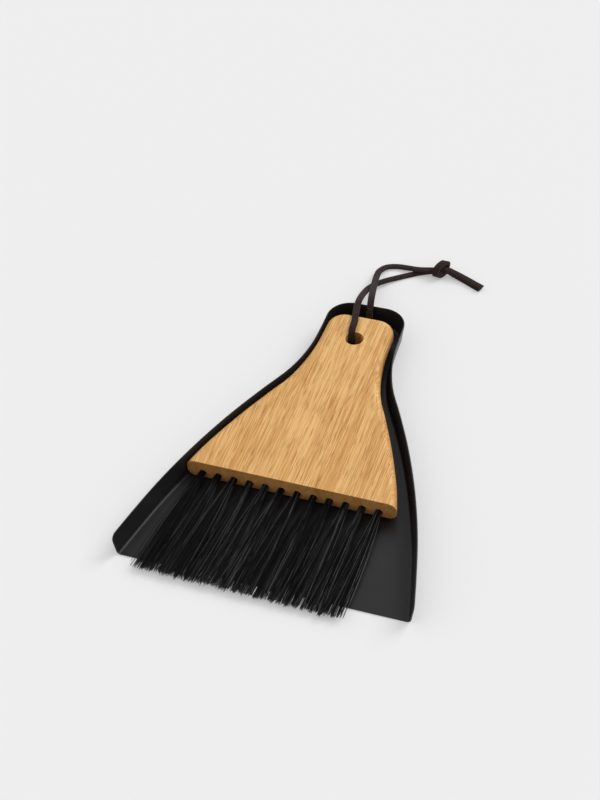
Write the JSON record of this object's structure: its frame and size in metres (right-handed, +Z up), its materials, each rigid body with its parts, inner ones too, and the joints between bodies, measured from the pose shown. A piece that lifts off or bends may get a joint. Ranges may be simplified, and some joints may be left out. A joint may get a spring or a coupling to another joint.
{
  "type": "dust pan and brush set",
  "caption": "Bell-shaped sheet-steel dust pan with a flat bamboo hand brush lying in it, long bristles over the pan's mouth and a knotted lace loop for hanging.",
  "frame": {"origin": "on the underside of the pan, in the middle of its mouth edge, on the surface that the set lies on", "axes": "+Z up out of the tray; +Y from the mouth towards the handle end; +X to the right when the mouth faces the user"},
  "size_m": [0.1728, 0.2976, 0.0192],
  "materials": {
    "coated_steel": "black satin powder coat, fine texture",
    "bamboo": "sanded bamboo board, matt oil",
    "bristle": "black synthetic filament with a soft sheen",
    "staple_wire": "plain drawn wire",
    "suede_lace": "dark brown suede"
  },
  "bodies": {
    "pan": {"pan_tray": "coated_steel"},
    "brush": {"brush_block": "bamboo", "tuft_01": "bristle", "tuft_02": "bristle", "tuft_03": "bristle", "tuft_04": "bristle", "tuft_05": "bristle", "tuft_06": "bristle", "tuft_07": "bristle", "tuft_08": "bristle", "tuft_09": "bristle", "tuft_10": "bristle", "tuft_11": "bristle", "tuft_12": "bristle", "staple_01": "staple_wire", "staple_02": "staple_wire", "staple_03": "staple_wire", "staple_04": "staple_wire", "staple_05": "staple_wire", "staple_06": "staple_wire", "staple_07": "staple_wire", "staple_08": "staple_wire", "staple_09": "staple_wire", "staple_10": "staple_wire", "staple_11": "staple_wire", "staple_12": "staple_wire", "lace_upper": "suede_lace", "lace_lower": "suede_lace", "lace_knot": "suede_lace", "lace_tail_a": "suede_lace", "lace_tail_b": "suede_lace"}
  },
  "joints": [
    {"name": "brush_lift", "type": "slide", "parent": "pan", "child": "brush", "axis": [0, 0, 1], "range_m": [0, 0.12]}
  ]
}
